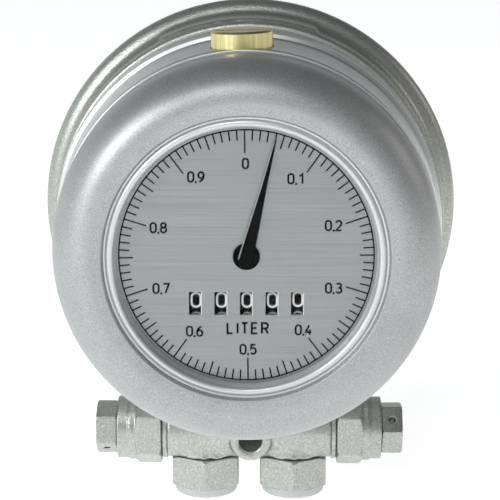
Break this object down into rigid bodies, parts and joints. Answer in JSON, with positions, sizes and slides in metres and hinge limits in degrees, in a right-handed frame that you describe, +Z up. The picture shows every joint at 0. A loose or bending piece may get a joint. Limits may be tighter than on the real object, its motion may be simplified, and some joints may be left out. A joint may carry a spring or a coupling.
{
  "type": "oil flow meter",
  "caption": "Round dial flow meter for thin oil with a turning head, roller counter and pointer on a cast body with two screwed pipe connections.",
  "frame": {"origin": "centre of the flat back face, on the axis of the head and dial", "axes": "+X to the right of the dial, +Y from the dial out of the back face, +Z up"},
  "size_m": [0.1074, 0.079, 0.1265],
  "materials": {
    "silver_lacquer": "satin silver lacquer with a fine metallic grain",
    "window_glass": "clear flat glass",
    "rubber": "matt nitrile rubber",
    "dial_aluminium": "brushed from side to side, with a printed black scale",
    "turned_aluminium": "turned, with fine tool marks round the axis",
    "brass": "turned and lightly dulled",
    "steel": "ground",
    "magnet": "dark sintered ferrite",
    "black_plastic": "moulded, with white printed digits",
    "acetal": "moulded natural acetal",
    "pointer_black": "matt black paint on sheet metal",
    "hammer_paint": "silver hammer-effect paint over cast metal"
  },
  "bodies": {
    "meter_body": {"casting": "hammer_paint", "neck_seal": "rubber", "separating_cup": "steel", "measuring_chamber": "brass", "partition_plate": "steel", "chamber_lid": "brass", "back_cover": "hammer_paint", "cover_seal": "rubber", "cover_screws": "steel", "filter_housing_left": "hammer_paint", "filter_housing_right": "hammer_paint", "housing_washers": "turned_aluminium", "strainers": "steel", "cap_seals": "rubber", "thrust_collars": "turned_aluminium", "cutting_rings": "brass"},
    "head": {"bezel": "silver_lacquer", "window_glass": "window_glass", "window_gasket": "rubber", "dial_plate": "dial_aluminium", "dial_carrier": "turned_aluminium", "head_ring": "turned_aluminium", "front_plate": "brass", "middle_plate": "brass", "back_plate": "brass", "movement_pillars": "steel", "counter_frame": "brass", "drum_shaft": "steel", "pinion_shaft": "steel"},
    "lock_screw": {"lock_screw": "brass"},
    "pointer": {"pointer": "pointer_black", "pointer_disc": "pointer_black", "pointer_arbor": "steel", "worm": "brass", "centre_wheel": "brass"},
    "second_arbor": {"second_arbor": "steel", "second_wheel": "brass"},
    "first_arbor": {"first_arbor": "steel", "first_wheel": "brass"},
    "magnet_arbor": {"magnet_arbor": "steel", "upper_magnet": "magnet"},
    "cross_shaft": {"cross_shaft": "steel", "worm_wheel": "acetal", "counter_wheel": "acetal"},
    "crank": {"drive_crank": "acetal", "lower_magnet": "magnet"},
    "ring_piston": {"ring_piston": "acetal"},
    "filter_cap_left": {"filter_cap_left": "hammer_paint"},
    "filter_cap_right": {"filter_cap_right": "hammer_paint"},
    "union_nut_left": {"union_nut_left": "hammer_paint"},
    "union_nut_right": {"union_nut_right": "hammer_paint"},
    "number_drum_1": {"number_drum_1": "black_plastic"},
    "number_drum_2": {"number_drum_2": "black_plastic"},
    "number_drum_3": {"number_drum_3": "black_plastic"},
    "number_drum_4": {"number_drum_4": "black_plastic"},
    "number_drum_5": {"number_drum_5": "black_plastic"},
    "transfer_pinion_1": {"transfer_pinion_1": "acetal"},
    "transfer_pinion_2": {"transfer_pinion_2": "acetal"},
    "transfer_pinion_3": {"transfer_pinion_3": "acetal"},
    "transfer_pinion_4": {"transfer_pinion_4": "acetal"}
  },
  "joints": [
    {"name": "head_turn", "type": "hinge", "parent": "meter_body", "child": "head", "pos_m": [0, -0.05, 0], "axis": [0, 1, 0], "range_deg": [-90, 90]},
    {"name": "lock_screw_turn", "type": "hinge", "parent": "head", "child": "lock_screw", "pos_m": [-0.00128, -0.0495, 0.04298], "axis": [-0.0297, 0, 0.9996], "range_deg": [0, 360]},
    {"name": "pointer_turn", "type": "hinge", "parent": "head", "child": "pointer", "pos_m": [0, -0.054, 0], "axis": [0, 1, 0], "continuous": true},
    {"name": "second_arbor_turn", "type": "hinge", "parent": "head", "child": "second_arbor", "pos_m": [-0.0072, -0.041, 0.01247], "axis": [0, 1, 0], "continuous": true},
    {"name": "first_arbor_turn", "type": "hinge", "parent": "head", "child": "first_arbor", "pos_m": [0.0072, -0.038, 0.01247], "axis": [0, 1, 0], "continuous": true},
    {"name": "magnet_arbor_turn", "type": "hinge", "parent": "head", "child": "magnet_arbor", "pos_m": [0, -0.033, 0], "axis": [0, 1, 0], "continuous": true},
    {"name": "cross_shaft_turn", "type": "hinge", "parent": "head", "child": "cross_shaft", "pos_m": [0, -0.0515, -0.007], "axis": [1, 0, 0], "continuous": true},
    {"name": "number_drum_1_turn", "type": "hinge", "parent": "head", "child": "number_drum_1", "pos_m": [0.0117, -0.0651, -0.011], "axis": [1, 0, 0], "continuous": true},
    {"name": "number_drum_2_turn", "type": "hinge", "parent": "head", "child": "number_drum_2", "pos_m": [0.00585, -0.0651, -0.011], "axis": [1, 0, 0], "continuous": true},
    {"name": "number_drum_3_turn", "type": "hinge", "parent": "head", "child": "number_drum_3", "pos_m": [0, -0.0651, -0.011], "axis": [1, 0, 0], "continuous": true},
    {"name": "number_drum_4_turn", "type": "hinge", "parent": "head", "child": "number_drum_4", "pos_m": [-0.00585, -0.0651, -0.011], "axis": [1, 0, 0], "continuous": true},
    {"name": "number_drum_5_turn", "type": "hinge", "parent": "head", "child": "number_drum_5", "pos_m": [-0.0117, -0.0651, -0.011], "axis": [1, 0, 0], "continuous": true},
    {"name": "transfer_pinion_1_turn", "type": "hinge", "parent": "head", "child": "transfer_pinion_1", "pos_m": [0.00865, -0.05916, -0.01694], "axis": [1, 0, 0], "continuous": true},
    {"name": "transfer_pinion_2_turn", "type": "hinge", "parent": "head", "child": "transfer_pinion_2", "pos_m": [0.0028, -0.05916, -0.01694], "axis": [1, 0, 0], "continuous": true},
    {"name": "transfer_pinion_3_turn", "type": "hinge", "parent": "head", "child": "transfer_pinion_3", "pos_m": [-0.00305, -0.05916, -0.01694], "axis": [1, 0, 0], "continuous": true},
    {"name": "transfer_pinion_4_turn", "type": "hinge", "parent": "head", "child": "transfer_pinion_4", "pos_m": [-0.0089, -0.05916, -0.01694], "axis": [1, 0, 0], "continuous": true},
    {"name": "crank_turn", "type": "hinge", "parent": "meter_body", "child": "crank", "pos_m": [0, -0.022, 0], "axis": [0, 1, 0], "continuous": true},
    {"name": "ring_piston_turn", "type": "hinge", "parent": "crank", "child": "ring_piston", "pos_m": [0, -0.021, 0.003], "axis": [0, 1, 0], "continuous": true},
    {"name": "filter_cap_left_turn", "type": "hinge", "parent": "meter_body", "child": "filter_cap_left", "pos_m": [-0.033, -0.024, -0.0558], "axis": [-1, 0, 0], "range_deg": [0, 360]},
    {"name": "union_nut_left_turn", "type": "hinge", "parent": "meter_body", "child": "union_nut_left", "pos_m": [-0.0113, -0.024, -0.066], "axis": [0, 0, 1], "range_deg": [0, 360]},
    {"name": "filter_cap_right_turn", "type": "hinge", "parent": "meter_body", "child": "filter_cap_right", "pos_m": [0.033, -0.024, -0.0558], "axis": [1, 0, 0], "range_deg": [0, 360]},
    {"name": "union_nut_right_turn", "type": "hinge", "parent": "meter_body", "child": "union_nut_right", "pos_m": [0.0113, -0.024, -0.066], "axis": [0, 0, 1], "range_deg": [0, 360]}
  ],
  "couplings": [
    {"joint": "second_arbor_turn", "follows": "pointer_turn", "ratio": -5},
    {"joint": "first_arbor_turn", "follows": "pointer_turn", "ratio": 40},
    {"joint": "magnet_arbor_turn", "follows": "pointer_turn", "ratio": -320},
    {"joint": "cross_shaft_turn", "follows": "pointer_turn", "ratio": -0.05},
    {"joint": "number_drum_1_turn", "follows": "pointer_turn", "ratio": 0.1},
    {"joint": "number_drum_2_turn", "follows": "pointer_turn", "ratio": 0.01},
    {"joint": "number_drum_3_turn", "follows": "pointer_turn", "ratio": 0.001},
    {"joint": "number_drum_4_turn", "follows": "pointer_turn", "ratio": 0.0001},
    {"joint": "number_drum_5_turn", "follows": "pointer_turn", "ratio": 0.00001},
    {"joint": "transfer_pinion_1_turn", "follows": "pointer_turn", "ratio": -0.025},
    {"joint": "transfer_pinion_2_turn", "follows": "pointer_turn", "ratio": -0.0025},
    {"joint": "transfer_pinion_3_turn", "follows": "pointer_turn", "ratio": -0.00025},
    {"joint": "transfer_pinion_4_turn", "follows": "pointer_turn", "ratio": -0.000025},
    {"joint": "ring_piston_turn", "follows": "crank_turn", "ratio": -1}
  ]
}
